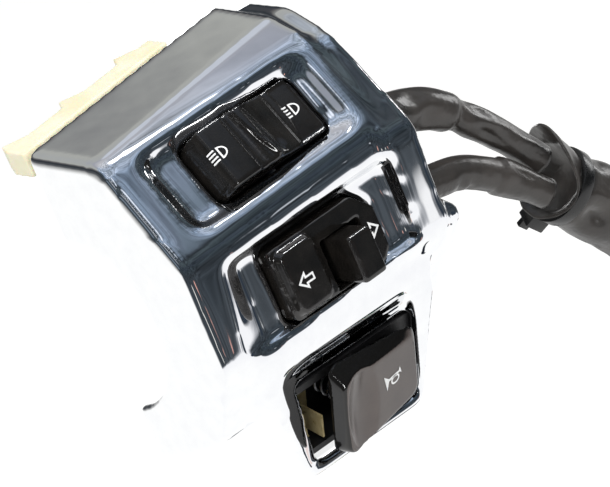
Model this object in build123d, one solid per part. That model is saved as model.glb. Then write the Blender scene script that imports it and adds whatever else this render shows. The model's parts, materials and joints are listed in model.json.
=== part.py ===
from build123d import *
import math
import os

# Axes: X runs inboard along the handlebar, Y to the rear, Z up. The handlebar axis is X itself.
# The origin is the middle of the half-round saddle, and the parting face of the casing is Y = 0.

# Handlebar fit and overall form of the casing
bar_radius = 12.7
end_hole_radius = 17.0
housing_length = 57.4
body_length = 52.0
collar_setback = 3.0
collar_rise = 39.9
saddle_length = 8.0
wall = 2.2
end_wall = 2.6
rim_length = 1.1
rim_inset = 0.7
overrun = 3.0
running_gap = 0.05
side_gap = 0.3

# Outline of the casing seen along the handlebar, at its outboard and inboard ends
outboard_depth = 34.0
outboard_rise = 35.3
inboard_depth = 36.2
inboard_rise = 42.1
body_drop = 28.0
# Corners from the top round the front to the bottom: ridge, shoulder, crease, jaw, chin and belly
outboard_shares = [(0.597, 0.909), (0.640, 0.866), (0.988, 0.292), (0.982, -0.343), (0.674, -0.864), (0.229, -1)]
inboard_shares = [(0.425, 0.917), (0.685, 0.796), (0.994, 0.342), (0.959, -0.321), (0.633, -0.864), (0.215, -1)]
collar_shares = [(0.402, 0.943), (0.688, 0.774), (1.022, 0.301), (0.981, -0.311), (0.633, -0.864), (0.215, -1)]
ridge, shoulder, crease, jaw, chin, belly = range(len(outboard_shares))
outboard_radii = [1.2, 2.6, 6.0, 1.0, 4.0, 8.0]
inboard_radii = [6.0, 8.0, 6.0, 1.0, 4.0, 8.0]
collar_radii = [8.0, 8.0, 6.0, 1.5, 4.0, 8.0]

# Lower inboard lug, in which the front corner of the casing runs on past the collar
lug_length = 3.8
lug_rise = 8.0
lug_root_share = 0.95
lug_tip_share = 0.25
lug_tip_rise_share = 0.28

# Horn pod
brow_depth = 30.4
brow_drop = 20.0
lip_depth = 20.5
pod_drop = 43.5
lip_rise = 2.5
brow_outboard = 8.0
brow_inboard = 51.8
lip_outboard = 16.0
lip_inboard = 46.8
temple_depth = 33.4
temple_drop = 9.4
temple_root_drop = 25.0
temple_outboard = 6.0
temple_inboard = 53.0
pod_root_shares = [(0.21, 0.62), (0.36, 1), (0.84, 1), (0.94, 0.62)]
pod_edge_radius = 2.4
pod_wall = 1.6

# Upper recess, which holds the beam switch
upper_along = 27.6
upper_share = 0.435
upper_rim_length = 40.6
upper_rim_width = 17.8
upper_floor_length = 37.2
upper_floor_width = 15.2
upper_recess_depth = 2.0
recess_corner = 2.6

# Middle recess, which holds the turn switch
middle_along = 28.9
middle_share = 0.585
middle_rim = [(-24.2, -9.3), (20.8, -8.8), (20.8, 8.6), (-20.8, 8.6)]
middle_floor = [(-17.4, -9.1), (19.6, -8.6), (19.6, 7.7), (-17.2, 7.7)]
middle_recess_depth = 2.2

# Beam switch
cap_radius = 13.5
cap_width = 12.6
cap_shift = 2.3
pivot_drop = 3.6
cap_throw = 15.0
pad_height = 4.4
# Top of the cap from its outboard end, in shares of its radius and of its pad height
cap_shares = [(-1, 0.93), (-0.70, 1), (-0.40, 1.0), (-0.33, 0.78), (-0.25, 0.76), (-0.21, 0.84), (-0.13, 0.75)]
cap_slope_shares = [(-0.03, 0.82), (0.20, 0.45), (0.46, 0.24)]
cap_step_shares = [(0.46, 0.17), (1, 0.14)]
cap_edge_radius = 0.5
cap_bottom_outboard = 0.4
cap_bottom_inboard = 2.0
hub_half = 2.4
hub_drop = 6.2
pin_radius = 1.0
plunger_radius = 1.2
plunger_length = 4.4
plunger_reach = 9.0
plunger_travel = 0.6
beam_base_length = 30.0
beam_base_width = 16.2
beam_base_depth = 12.0
cap_pocket_depth = 5.4
window_end = 0.2
board_thickness = 1.2
lug_plate_length = 3.6
lug_plate_width = 9.0
lug_plate_thickness = 1.8
screw_radius = 1.0
screw_head_radius = 1.7
screw_head_height = 1.3
screw_bite = 1.5

# Turn switch
plate_length = 25.2
plate_width = 14.4
plate_along = 1.4
plate_rise = -1.2
plate_chamfer = 4.0
plate_corner = 1.4
turn_pad_length = 10.2
turn_pad_rise = 3.8
turn_pad_draft = 1.2
turn_plate_rise = 2.1
plate_wall = 1.3
knob_length = 5.6
knob_width = 9.4
knob_reach = 5.8
knob_along = 3.6
knob_rise = -1.8
knob_edge_radius = 0.7
knob_throw = 1.9
knob_push = 1.5
slider_thickness = 1.2
slider_overlap = 0.4
cup_wall = 0.8
cup_depth = 7.4
knob_skirt = 2.2
turn_base_depth = 10.4
turn_base_length = 28.0
turn_base_width = 17.0
turn_base_along = 0.8
turn_base_rise = -0.5
turn_base_wall = 1.2

# Horn switch, measured in the plane of the pod's face
horn_along = 30.0
horn_share = 0.5
opening_outline = [(-9.8, -10.0), (16.0, -10.0), (16.0, 11.6), (-12.8, 11.6)]
flare_outline = [(-13.8, -10.7), (16.5, -10.7), (16.5, 17.0), (-22.6, 17.0)]
opening_corner = 2.0
opening_depth = 2.4
paddle_base_outline = [(-7.6, -9.7), (15.4, -8.8), (15.4, 8.0), (-7.6, 10.9)]
paddle_face_outline = [(-6.9, -9.0), (14.4, -6.9), (14.4, 5.8), (-6.9, 8.4)]
paddle_outboard_rise = 3.8
paddle_inboard_rise = 1.0
paddle_skirt = 0.3
paddle_corner = 2.4
paddle_edge_radius = 0.8
dish_radius = 9.0
dish_length = 14.0
dish_fall = 2.4
dish_depth = 1.3
dish_along = 2.2
hinge_along = 13.2
hinge_drop = 4.6
hinge_radius = 1.0
hinge_hub = 2.0
hinge_half = 4.2
horn_throw = 5.4
horn_base_depth = 9.6
horn_base_wall = 1.3
horn_base_width = 17.0
horn_base_reach = 40.0
horn_spring_along = 1.0
horn_spring_radius = 2.2
horn_spring_wire = 0.25
horn_spring_turns = 4
blade_thickness = 0.4
blade_width = 5.0
blade_length = 9.0
blade_along = 8.6
blade_rise = 3.0

# Casing screws from the rear half, and the cream terminal carrier
boss_radius = 4.0
case_screw_radius = 2.1
case_screw_depth = 12.0
upper_boss_along = 46.0
upper_boss_rise = 34.6
upper_boss_length = 15.0
lower_boss_along = 5.8
lower_boss_drop = 21.6
carrier_start = 0.6
carrier_end = 39.4
carrier_gap = 0.9
carrier_thickness = 2.2
carrier_tongue = 5.4
carrier_rear = 6.4
carrier_lip = 0.2
# Outline of its rear edge: along, and how far beyond the strip
carrier_teeth = [(0.6, 0), (2.0, 2.8), (7.0, 0), (15.6, 0), (17.2, 2.8), (22.0, 0), (30.6, 0), (32.2, 2.8), (37.0, 0), (39.4, 0)]

# Harness, whose sleeves leave the inboard end side by side
sleeve_start = 48.0
branch_depth = 20.0
upper_branch_radius = 3.8
lower_branch_radius = 3.4
main_radius = 7.5
# Places on each route: along the handlebar from the outboard end, forward of the parting face, and up
upper_route = [(48.0, 20.0, 12.4), (66.0, 20.0, 12.4), (84.0, 19.6, 1.4), (96.6, 18.4, -14.8)]
lower_route = [(48.0, 20.0, -4.2), (64.0, 20.0, -4.2), (81.0, 20.4, -7.8), (92.3, 21.6, -20.1)]
main_route = [
    (94.8, 20.0, -18.0),
    (112.0, 20.0, -35.2),
    (120.5, 20.0, -59.0),
    (119.5, 21.0, -90.0),
    (117.0, 19.5, -118.0),
    (118.5, 18.0, -140.0),
]
horn_wire_route = [(43.4, 12.9, -26.0), (44.0, 15.2, -15.4), (45.2, 17.2, -8.6), (47.2, 18.0, -6.6)]
bend_share = 0.45
beam_wire_start = 46.3
turn_wire_start = 46.0
grommet_wall = 1.0
grommet_lip = 1.4
grommet_lip_length = 1.0
wire_radius = 0.8
lead_radius = 0.9
lead_pitch = 2.4
lead_count = 3
tie_along = 4.0
tie_width = 2.8
tie_thickness = 1.2
tie_head = 4.4
tie_tail = 1.6
tie_turn = 225.0
connectors = {
    "connector_large": ((110.0, 18.0, -176.0), (14.0, 9.0, 22.0)),
    "connector_small": ((127.0, 19.0, -172.0), (10.0, 8.0, 18.0)),
}
connector_wall = 1.2
connector_depth = 8.0
connector_latch = 1.6

# Contacts and springs
spring_radius = 2.2
spring_wire = 0.25
spring_turns = 5
spring_sides = 6
knob_spring_radius = 1.8
knob_spring_wire = 0.15
knob_spring_turns = 4
plunger_spring_wire = 0.1
plunger_spring_radius = 0.9
plunger_spring_turns = 3

outboard_x = saddle_length / 2 - housing_length


def place(along, depth, rise):
    return Vector(outboard_x + along, -depth, rise)


def corner(which, share):
    """A corner of the outline at a share of the length: how far forward and how high it is."""
    (d0, h0), (d1, h1) = outboard_shares[which], inboard_shares[which]
    first = (d0 * outboard_depth, h0 * (outboard_rise if h0 > 0 else body_drop))
    last = (d1 * inboard_depth, h1 * (inboard_rise if h1 > 0 else body_drop))
    return tuple(a + (b - a) * share for a, b in zip(first, last))


def section(along, rear, inset):
    """The outline as a face across the handlebar, moved inwards by inset, or outwards if it is negative."""
    share = along / housing_length
    top = outboard_rise + (inboard_rise - outboard_rise) * share
    radii = [a + (b - a) * share for a, b in zip(outboard_radii, inboard_radii)]
    points = [(-rear, top), *[corner(which, share) for which in range(len(radii))], (-rear, -body_drop)]
    line = FilletPolyline(*points, radius=radii)
    face = make_face(line + Line(points[-1], points[0]))
    if inset:
        face = offset(face, amount=-inset, kind=Kind.INTERSECTION)
    return Plane(origin=place(along, 0, 0), x_dir=(0, -1, 0), z_dir=(-1, 0, 0)) * face


def facet(upper, lower, along, share_down, sink):
    """The plane of one facet of the front: x inboard along it, y up it and z out of it."""
    def on(station):
        (d0, h0), (d1, h1) = corner(upper, station), corner(lower, station)
        return place(station * housing_length, d0 + (d1 - d0) * share_down, h0 + (h1 - h0) * share_down)

    share = along / housing_length
    inboard = (on(1) - on(0)).normalized()
    up = place(0, *corner(upper, share)) - place(0, *corner(lower, share))
    out = inboard.cross(up).normalized()
    return Plane(origin=on(share) - out * sink, x_dir=inboard, z_dir=out)


def shifted(frame, x, y, z):
    return Plane(origin=frame.from_local_coords((x, y, z)), x_dir=frame.x_dir, z_dir=frame.z_dir)


def side(frame):
    """The plane across a frame: x as in the frame, y out of the frame."""
    return Plane(origin=frame.origin, x_dir=frame.x_dir, z_dir=-frame.y_dir)


def polygon(frame, points, radius, height=0):
    return shifted(frame, 0, 0, height) * make_face(FilletPolyline(*points, radius=radius, close=True))


def rectangle(length, width, x=0, y=0):
    a, b = length / 2, width / 2
    return [(x - a, y - b), (x + a, y - b), (x + a, y + b), (x - a, y + b)]


def block(frame, x, y, z):
    """A block between two places on each axis of a frame."""
    middle = [(low + high) / 2 for low, high in (x, y, z)]
    return shifted(frame, *middle) * Box(x[1] - x[0], y[1] - y[0], z[1] - z[0])


def rod(start, end, radius):
    axis = end - start
    return extrude(Plane(origin=start, z_dir=axis) * Circle(radius), axis.length)


def sunk(frame, rim, floor, depth, radius):
    """The space of a recess: sloping walls between its rim and its floor, open above the rim."""
    walls = loft([polygon(frame, rim, radius), polygon(frame, floor, radius, -depth)], ruled=True)
    return walls + extrude(polygon(frame, rim, radius), overrun)


upper_frame = facet(shoulder, crease, upper_along, upper_share, 0)
middle_frame = facet(crease, jaw, middle_along, middle_share, 0)
beam_frame = shifted(upper_frame, cap_shift, 0, -upper_recess_depth - pivot_drop)
turn_frame = shifted(middle_frame, plate_along, plate_rise, -middle_recess_depth)
turn_base_frame = shifted(turn_frame, turn_base_along, turn_base_rise, 0)
pod_up = place(0, brow_depth, -brow_drop) - place(0, lip_depth, -(pod_drop - lip_rise))
pod_middle = place(horn_along, lip_depth, -(pod_drop - lip_rise)) + pod_up * horn_share
horn_frame = Plane(origin=pod_middle, x_dir=(1, 0, 0), z_dir=Vector(1, 0, 0).cross(pod_up))


def pod(inset, sink):
    """The horn pod, from its front facet to the parting face: sides moved in by inset, front sunk by sink."""
    half = pod_up.length / 2
    brow, lip = half - inset, inset - half
    front = [
        (brow_outboard - horn_along + inset, brow),
        (lip_outboard - horn_along + inset, lip),
        (lip_inboard - horn_along - inset, lip),
        (brow_inboard - horn_along - inset, brow),
    ]
    front_face = shifted(horn_frame, 0, 0, -sink) * make_face(Polyline(*front, close=True))
    inward = [(inset, 0), (inset, inset), (-inset, inset), (-inset, 0)]
    back = [
        (outboard_x + a * housing_length + i, -b * pod_drop + j)
        for (a, b), (i, j) in zip(pod_root_shares, inward)
    ]
    back_face = Plane(origin=(0, 0, 0), x_dir=(1, 0, 0), z_dir=(0, -1, 0)) * make_face(Polyline(*back, close=True))
    return loft([back_face, front_face], ruled=True)


def pod_temple():
    """The wedge above the pod, which carries its front on up to the jaw of the casing."""
    def quad(brow, temple, drop):
        corners = [
            place(temple_outboard, temple, -temple_drop),
            place(brow_outboard, brow, -drop),
            place(brow_inboard, brow, -drop),
            place(temple_inboard, temple, -temple_drop),
        ]
        return make_face(Polyline(*corners, close=True))

    root = quad(brow_depth / 2, temple_depth / 2, temple_root_drop)
    return loft([root, quad(brow_depth, temple_depth, brow_drop)], ruled=True)


def pod_shell():
    solid = pod(0, 0)
    lengthwise = solid.edges().filter_by(lambda e: abs(e.tangent_at(0.5).X) < 0.8)
    front = lengthwise.filter_by(lambda e: e.center().Y < -lip_depth / 2)
    return fillet(front.sort_by(Axis.Z)[:2], pod_edge_radius)


def lug():
    """The front corner of the casing beyond the collar, as a strip that narrows to its tip."""
    def strip(along, rise, reach):
        share = min(along, housing_length) / housing_length
        (jd, jh), (cd, ch) = corner(jaw, share), corner(chin, share)
        run = math.hypot(cd - jd, ch - jh)
        across = ((jh - ch) / run, (cd - jd) / run)
        end = (jd + (cd - jd) * reach, jh + (ch - jh) * reach)
        inner_end = (end[0] - across[0] * wall, end[1] - across[1] * wall)
        inner_jaw = (jd - wall, jh + wall * (1 - across[0]) / -across[1] / 2)
        points = [(jd, jh + rise), (jd, jh), end, inner_end, inner_jaw, (jd - wall, jh + rise)]
        return Plane(origin=place(along, 0, 0), x_dir=(0, -1, 0), z_dir=(-1, 0, 0)) * make_face(
            Polyline(*points, close=True)
        )

    root = strip(housing_length - wall, lug_rise, lug_root_share)
    tip = strip(housing_length + lug_length, lug_rise * lug_tip_rise_share, lug_tip_share)
    return loft([root, tip], ruled=True)


def plate_outline(grow):
    """The turn switch plate's outline, with its two inboard corners cut off."""
    a, b, cut = plate_length / 2 + grow, plate_width / 2 + grow, plate_chamfer
    return [(-a, -b), (a - cut / 2, -b), (a, -b + cut / 2), (a, b - cut), (a - cut, b), (-a, b)]


def inside_space():
    """The hollow of the casing, open at the parting face."""
    body = loft([section(end_wall, overrun, wall), section(housing_length - saddle_length, overrun, wall)], ruled=True)
    deep = (-housing_length, -opening_depth)
    across = (-housing_length, housing_length)
    return body + (pod(pod_wall, pod_wall) & block(horn_frame, across, across, deep))


def boss(along, rise, length):
    return rod(place(along, 0, rise), place(along, length, rise), boss_radius)


def case_screw_hole(along, rise):
    return rod(place(along, -overrun, rise), place(along, case_screw_depth, rise), case_screw_radius)


def base_screw_places(length):
    reach = length / 2 + lug_plate_length / 2
    return [(-reach, 0), (reach, 0)]


def collar():
    """The stepped-in inboard end, which stops short of the parting face at the top."""
    def ring(along):
        points = [(a * inboard_depth, b * (collar_rise if b > 0 else body_drop)) for a, b in collar_shares]
        line = FilletPolyline((0, collar_rise), *points, (0, -body_drop), radius=collar_radii)
        face = make_face(line + Line((0, -body_drop), (0, collar_rise)))
        return Plane(origin=place(along, 0, 0), x_dir=(0, -1, 0), z_dir=(-1, 0, 0)) * face

    body = loft([ring(body_length - overrun), ring(housing_length)], ruled=True)
    notch = block(Plane.XY, (body_length + outboard_x, housing_length), (-collar_setback, overrun), (bar_radius * 2, housing_length))
    return body - notch


def housing_shell():
    rim = loft([section(0, 0, rim_inset), section(rim_length, 0, 0)], ruled=True)
    body = loft([section(rim_length, 0, 0), section(body_length, 0, 0)], ruled=True)
    outer = rim + body + collar() + pod_shell() + pod_temple() + lug()
    thick = wall + upper_recess_depth
    backing = block(
        upper_frame,
        (-upper_rim_length / 2 - wall, upper_rim_length / 2 + wall),
        (-upper_rim_width / 2 - wall, upper_rim_width / 2 + wall),
        (-thick, overrun),
    )
    deep = wall + middle_recess_depth
    backing += block(
        middle_frame,
        (middle_rim[0][0], middle_rim[1][0] + wall),
        (middle_rim[0][1] - wall, middle_rim[2][1] + wall),
        (-deep, overrun),
    )
    hollow = inside_space() - backing
    for place_and_length in bosses:
        hollow -= boss(*place_and_length)
    shell = outer - hollow
    shell -= rod(place(-overrun, 0, 0), place(end_wall + overrun, 0, 0), end_hole_radius)
    shell -= rod(place(0, 0, 0), place(housing_length + overrun, 0, 0), bar_radius)
    shell -= Pos(0, housing_length, 0) * Box(housing_length * 4, housing_length * 2, housing_length * 4)
    shell -= recess_cuts()
    for along, rise, _ in bosses:
        shell -= case_screw_hole(along, rise)
    for route, radius in branches:
        start = place(housing_length - saddle_length - overrun, *route[0][1:])
        shell -= rod(start, place(housing_length + overrun, *route[0][1:]), radius + grommet_wall)
    return shell


def recess_cuts():
    cuts = sunk(
        upper_frame,
        rectangle(upper_rim_length, upper_rim_width),
        rectangle(upper_floor_length, upper_floor_width),
        upper_recess_depth,
        recess_corner,
    )
    cuts += sunk(
        middle_frame,
        middle_rim,
        middle_floor,
        middle_recess_depth,
        plate_corner,
    )
    cuts += sunk(
        horn_frame,
        flare_outline,
        opening_outline,
        opening_depth,
        opening_corner,
    )
    cuts += window(beam_frame, cap_radius + window_end, cap_width / 2 + side_gap)
    cuts += extrude(polygon(shifted(turn_frame, 0, 0, -wall - overrun), plate_outline(side_gap), plate_corner), overrun * 2)
    for frame, under, length in ((beam_frame, pivot_drop - wall, beam_base_length), (turn_base_frame, -wall, turn_base_length)):
        for x, y in base_screw_places(length):
            start = frame.from_local_coords((x, y, under - overrun))
            end = frame.from_local_coords((x, y, under + screw_bite))
            cuts += rod(start, end, screw_radius)
    return cuts


def window(frame, half_length, half_width):
    return block(frame, (-half_length, half_length), (-half_width, half_width), (-overrun, pivot_drop + overrun))


bosses = [
    (upper_boss_along, upper_boss_rise, upper_boss_length),
    (lower_boss_along, -lower_boss_drop, inboard_depth),
]

branches = [(upper_route, upper_branch_radius), (lower_route, lower_branch_radius)]


def beam_rocker():
    """The cap, whose ends are round about its pivot so that they clear the window as it rocks."""
    def point(share, height):
        return (share * cap_radius, pivot_drop + height * pad_height)

    top = [point(*s) for s in cap_shares]
    slope = [point(*s) for s in cap_slope_shares]
    step = [point(*s) for s in cap_step_shares]
    outline = Polyline(*top, slope[0])
    outline += ThreePointArc(*slope)
    outline += Polyline(slope[-1], *step, (cap_radius, -cap_bottom_inboard), (hub_half, -cap_bottom_inboard))
    outline += Polyline((hub_half, -cap_bottom_inboard), (hub_half, -hub_drop), (-hub_half, -hub_drop))
    outline += Polyline((-hub_half, -hub_drop), (-hub_half, -cap_bottom_inboard), (-cap_radius, cap_bottom_outboard), top[0])
    body = extrude(side(beam_frame) * make_face(outline), cap_width / 2, both=True)
    body &= extrude(side(beam_frame) * Circle(cap_radius), cap_width / 2, both=True)
    edges = body.edges().filter_by(lambda e: beam_frame.to_local_coords(e.center()).Z > pivot_drop + side_gap)
    long_edges = edges.filter_by(lambda e: abs(beam_frame.to_local_coords(e.center()).Y) > cap_width / 2 - running_gap)
    body = fillet(long_edges, cap_edge_radius)
    body -= rod(
        beam_frame.from_local_coords((0, -cap_width, 0)),
        beam_frame.from_local_coords((0, cap_width, 0)),
        pin_radius + running_gap,
    )
    start, end = plunger_line(plunger_reach - plunger_length - plunger_travel - side_gap, plunger_reach)
    return body - rod(start, end, plunger_radius + running_gap)


def plunger_line(near, far):
    """Two places on the plunger's axis, which at rest leans outboard by half of the cap's throw."""
    lean = math.radians(cap_throw / 2)
    return [beam_frame.from_local_coords((-math.sin(lean) * r, 0, -math.cos(lean) * r)) for r in (near, far)]


def beam_plunger():
    start, end = plunger_line(plunger_reach - plunger_length, plunger_reach - plunger_radius)
    tip = Pos(*end) * Sphere(plunger_radius)
    return rod(start, end, plunger_radius) + tip


def beam_pivot_pin():
    ends = [beam_frame.from_local_coords((0, y * beam_base_width / 2, 0)) for y in (-1, 1)]
    return rod(*ends, pin_radius)


def switch_base(frame, top, length, width, depth, lug_at):
    """A base block behind the casing's floor, with a screw lug at each end."""
    body = block(frame, (-length / 2, length / 2), (-width / 2, width / 2), (top - depth, top))
    for x, y in lug_at:
        half = lug_plate_length / 2
        body += block(
            frame,
            (x - half, x + half),
            (y - lug_plate_width / 2, y + lug_plate_width / 2),
            (top - lug_plate_thickness, top),
        )
        start = frame.from_local_coords((x, y, top - depth))
        body -= rod(start, frame.from_local_coords((x, y, top + overrun)), screw_radius)
    return body


def base_screws(frame, top, places):
    group = []
    for x, y in places:
        head = frame.from_local_coords((x, y, top - lug_plate_thickness - screw_head_height))
        seat = frame.from_local_coords((x, y, top - lug_plate_thickness))
        point = frame.from_local_coords((x, y, top + screw_bite))
        group.append(rod(head, seat, screw_head_radius) + rod(seat, point, screw_radius))
    return Compound(group)


def beam_base():
    top = pivot_drop - wall
    body = switch_base(
        beam_frame, top, beam_base_length, beam_base_width, beam_base_depth, base_screw_places(beam_base_length)
    )
    reach = cap_radius + 2 * window_end
    half = cap_width / 2 + side_gap
    body -= block(beam_frame, (-reach, reach), (-half, half), (top - cap_pocket_depth, top + overrun))
    well = extrude(side(beam_frame) * Circle(plunger_reach + side_gap), half, both=True)
    body -= well & block(beam_frame, (-hub_half * 2, hub_half * 2), (-half, half), (-cap_radius, top))
    ends = [beam_frame.from_local_coords((0, y * beam_base_width, 0)) for y in (-1, 1)]
    return body - rod(*ends, pin_radius)


def board(frame, top, depth, length, width):
    low = top - depth - board_thickness
    face = polygon(frame, rectangle(length, width), plate_corner, low)
    return extrude(face, board_thickness)


def turn_plate():
    """The fixed plate: a raised outboard pad, a slot for the knob and a low inboard pad."""
    body = extrude(polygon(turn_frame, plate_outline(0), plate_corner, -wall), wall + turn_plate_rise)
    left = -plate_length / 2
    pad = rectangle(turn_pad_length, plate_width, left + turn_pad_length / 2)
    draft = turn_pad_draft
    pad_top = rectangle(turn_pad_length - 2 * draft, plate_width - 2 * draft, left + turn_pad_length / 2)
    raised = loft(
        [
            polygon(turn_frame, pad, plate_corner, turn_plate_rise - plate_wall),
            polygon(turn_frame, pad_top, plate_corner, turn_pad_rise),
        ],
        ruled=True,
    )
    body += raised
    slot = knob_length / 2 + knob_throw + side_gap / 2
    body -= block(
        turn_frame,
        (knob_along - slot, knob_along + slot),
        (knob_rise - knob_width / 2 - side_gap, knob_rise + knob_width / 2 + side_gap),
        (-wall - overrun, overrun * 2),
    )
    return body


def slider_top():
    return -wall - running_gap * 2


def turn_slider():
    """The plate that slides under the slot, with a cup that guides the push of the knob."""
    half = knob_length / 2 + 2 * knob_throw + slider_overlap
    top = slider_top()
    tall = knob_width / 2 + cup_wall
    body = block(
        turn_frame,
        (knob_along - half, knob_along + half),
        (knob_rise - tall, knob_rise + tall),
        (top - slider_thickness, top),
    )
    a, b = knob_length / 2 + cup_wall, knob_width / 2 + cup_wall
    body += block(turn_frame, (knob_along - a, knob_along + a), (knob_rise - b, knob_rise + b), (top - cup_depth, top))
    a, b = knob_length / 2 + 2 * running_gap, knob_width / 2 + 2 * running_gap
    body -= block(
        turn_frame,
        (knob_along - a, knob_along + a),
        (knob_rise - b, knob_rise + b),
        (top - cup_depth + cup_wall, top + overrun),
    )
    return body


def turn_knob():
    centre = (knob_along, knob_rise)
    face = rectangle(knob_length, knob_width, *centre)
    bottom = slider_top() - knob_skirt
    body = extrude(polygon(turn_frame, face, knob_edge_radius, bottom), knob_reach + turn_plate_rise - bottom)
    far = body.edges().filter_by(
        lambda e: turn_frame.to_local_coords(e.center()).Z > knob_reach + turn_plate_rise - running_gap
    )
    return fillet(far, knob_edge_radius - running_gap)


def coil(frame, radius, wire, turns, low, high):
    """A compression spring with its axis along a frame's z."""
    pitch = (high - low) / turns
    path = Helix(pitch=pitch, height=high - low, radius=radius)
    profile = Plane(origin=path @ 0, z_dir=path % 0) * RegularPolygon(wire, spring_sides)
    return shifted(frame, 0, 0, low) * sweep(profile, path=path, is_frenet=True)


def turn_base():
    depth = turn_base_depth
    top = -wall
    places = base_screw_places(turn_base_length)
    body = switch_base(turn_base_frame, top, turn_base_length, turn_base_width, depth, places)
    a, b = turn_base_length / 2 - turn_base_wall, turn_base_width / 2 - turn_base_wall
    body -= block(turn_base_frame, (-a, a), (-b, b), (top - depth + turn_base_wall, top + overrun))
    return body


def paddle_face():
    """The plane of the paddle's sloping face, which keeps the along-and-up places of the horn frame."""
    near, far = paddle_face_outline[0][0], paddle_face_outline[1][0]
    slope = (paddle_inboard_rise - paddle_outboard_rise) / (far - near)
    middle = paddle_outboard_rise - slope * near
    out = horn_frame.z_dir - horn_frame.x_dir * slope
    along = horn_frame.x_dir + horn_frame.z_dir * slope
    return Plane(origin=horn_frame.from_local_coords((0, 0, middle)), x_dir=along, z_dir=out)


def dish():
    """A barrel whose side hollows the paddle for the thumb, deepest half way up."""
    centre = shifted(paddle_face(), -dish_along, 0, dish_radius - dish_depth)
    profile = Plane(origin=centre.origin, x_dir=centre.y_dir, z_dir=centre.x_dir)
    end = dish_radius - dish_fall
    arc = ThreePointArc((-dish_length, end), (0, dish_radius), (dish_length, end))
    rest = Polyline((dish_length, end), (dish_length, 0), (-dish_length, 0), (-dish_length, end))
    return revolve(profile * make_face(arc + rest), axis=Axis(centre.origin, centre.y_dir))


def horn_paddle():
    """The paddle, deep at its outboard end and nearly flush at its hinge, with a dish for the thumb."""
    low = polygon(horn_frame, paddle_base_outline, paddle_corner, -paddle_skirt)
    high = polygon(paddle_face(), paddle_face_outline, paddle_corner)
    body = loft([low, high], ruled=True)
    top = body.faces().sort_by(Axis(horn_frame.origin, paddle_face().z_dir))[-1]
    body = fillet(top.edges(), paddle_edge_radius) - dish()
    hub = side(horn_frame) * Pos(hinge_along, -hinge_drop) * Circle(hinge_hub)
    web = side(horn_frame) * make_face(
        Polyline(
            (hinge_along - hinge_hub, -hinge_drop),
            (hinge_along + hinge_hub, -hinge_drop),
            (hinge_along + hinge_hub, -paddle_skirt + running_gap),
            (hinge_along - hinge_hub, -paddle_skirt + running_gap),
            close=True,
        )
    )
    body += extrude(hub + web, hinge_half, both=True)
    return body - rod(*hinge_ends(housing_length), hinge_radius + running_gap)


def hinge_ends(half):
    return [horn_frame.from_local_coords((hinge_along, y * half, -hinge_drop)) for y in (-1, 1)]


def horn_hinge_pin():
    return rod(*hinge_ends(hinge_half + side_gap / 2 + screw_bite), hinge_radius)


def horn_base():
    """A deep tray that follows the inside of the pod, with an ear at each end of the hinge pin."""
    top = -opening_depth - running_gap
    low = top - horn_base_depth
    half, a = horn_base_width / 2, horn_base_wall
    reach = (-horn_base_reach, horn_base_reach)
    fit = pod_wall + 2 * running_gap
    body = block(horn_frame, reach, (-half, half), (low, top)) & pod(fit, fit)
    tray = block(horn_frame, reach, (a - half, half - a), (low + a, top + overrun)) & pod(fit + a, 0)
    ear = (hinge_along - hinge_hub - a, horn_base_reach)
    span = hinge_half + side_gap / 2
    for low_y, high_y in ((-half, -span), (span, half)):
        tray -= block(horn_frame, ear, (low_y, high_y), (low, top))
    return body - tray - rod(*hinge_ends(span + screw_bite), hinge_radius)


def horn_spring():
    low = -opening_depth - running_gap - horn_base_depth + horn_base_wall
    frame = shifted(horn_frame, -horn_spring_along, 0, 0)
    return coil(frame, spring_radius, spring_wire, spring_turns, low + 5 * spring_wire, -paddle_skirt - 3 * spring_wire)


def knob_spring():
    low = slider_top() - cup_depth + cup_wall
    high = slider_top() - knob_skirt
    frame = shifted(turn_frame, knob_along, knob_rise, 0)
    wire = knob_spring_wire
    return coil(frame, knob_spring_radius, wire, knob_spring_turns, low + 2 * wire, high - 2 * wire)


def horn_fixed_contact():
    """A brass strip that stands up inside the outboard end of the tray."""
    low = -opening_depth - running_gap - horn_base_depth + horn_base_wall
    wide = blade_width / 2
    along = (-blade_along, -blade_along + blade_thickness)
    body = block(horn_frame, along, (-wide - blade_rise, wide - blade_rise), (low, low + blade_length))
    foot = (-blade_along, -blade_along + blade_length / 2)
    return body + block(horn_frame, foot, (-wide - blade_rise, wide - blade_rise), (low, low + blade_thickness))


def terminal_carrier():
    """A nylon strip behind the top rear edge: a tongue under the wall and a toothed lip outside it."""
    first, last = place(0, 0, outboard_rise), place(housing_length, 0, inboard_rise)
    along = (last - first).normalized()
    rearward = first - place(0, *corner(ridge, 0))
    frame = Plane(origin=first, x_dir=along, z_dir=along.cross(rearward))
    top = -wall - carrier_gap
    low = top - carrier_thickness
    body = block(frame, (end_wall + carrier_gap, carrier_end), (-carrier_tongue, carrier_gap), (low, top))
    outline = [(u, carrier_rear + t) for u, t in carrier_teeth]
    outline = [(carrier_start, carrier_gap), *outline, (carrier_end, carrier_gap)]
    lip = shifted(frame, 0, 0, low) * make_face(Polyline(*outline, close=True))
    return body + extrude(lip, -carrier_lip - low)


def tube(route, radius):
    """A round cord along a route, with its bends as arcs."""
    points = [place(*p) for p in route]
    runs = [(b - a).length for a, b in zip(points, points[1:])]
    radii = []
    for k in range(1, len(points) - 1):
        turn = (points[k] - points[k - 1]).get_angle(points[k + 1] - points[k])
        radii.append(bend_share * min(runs[k - 1], runs[k]) / math.tan(math.radians(turn) / 2))
    print("runs", [round(r, 1) for r in runs], "radii", [round(r, 1) for r in radii], "radius", radius)
    path = FilletPolyline(*points, radius=radii) if radii else Line(*points)
    start = Plane(origin=points[0], z_dir=points[1] - points[0])
    return sweep(start * Circle(radius), path=path)


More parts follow.
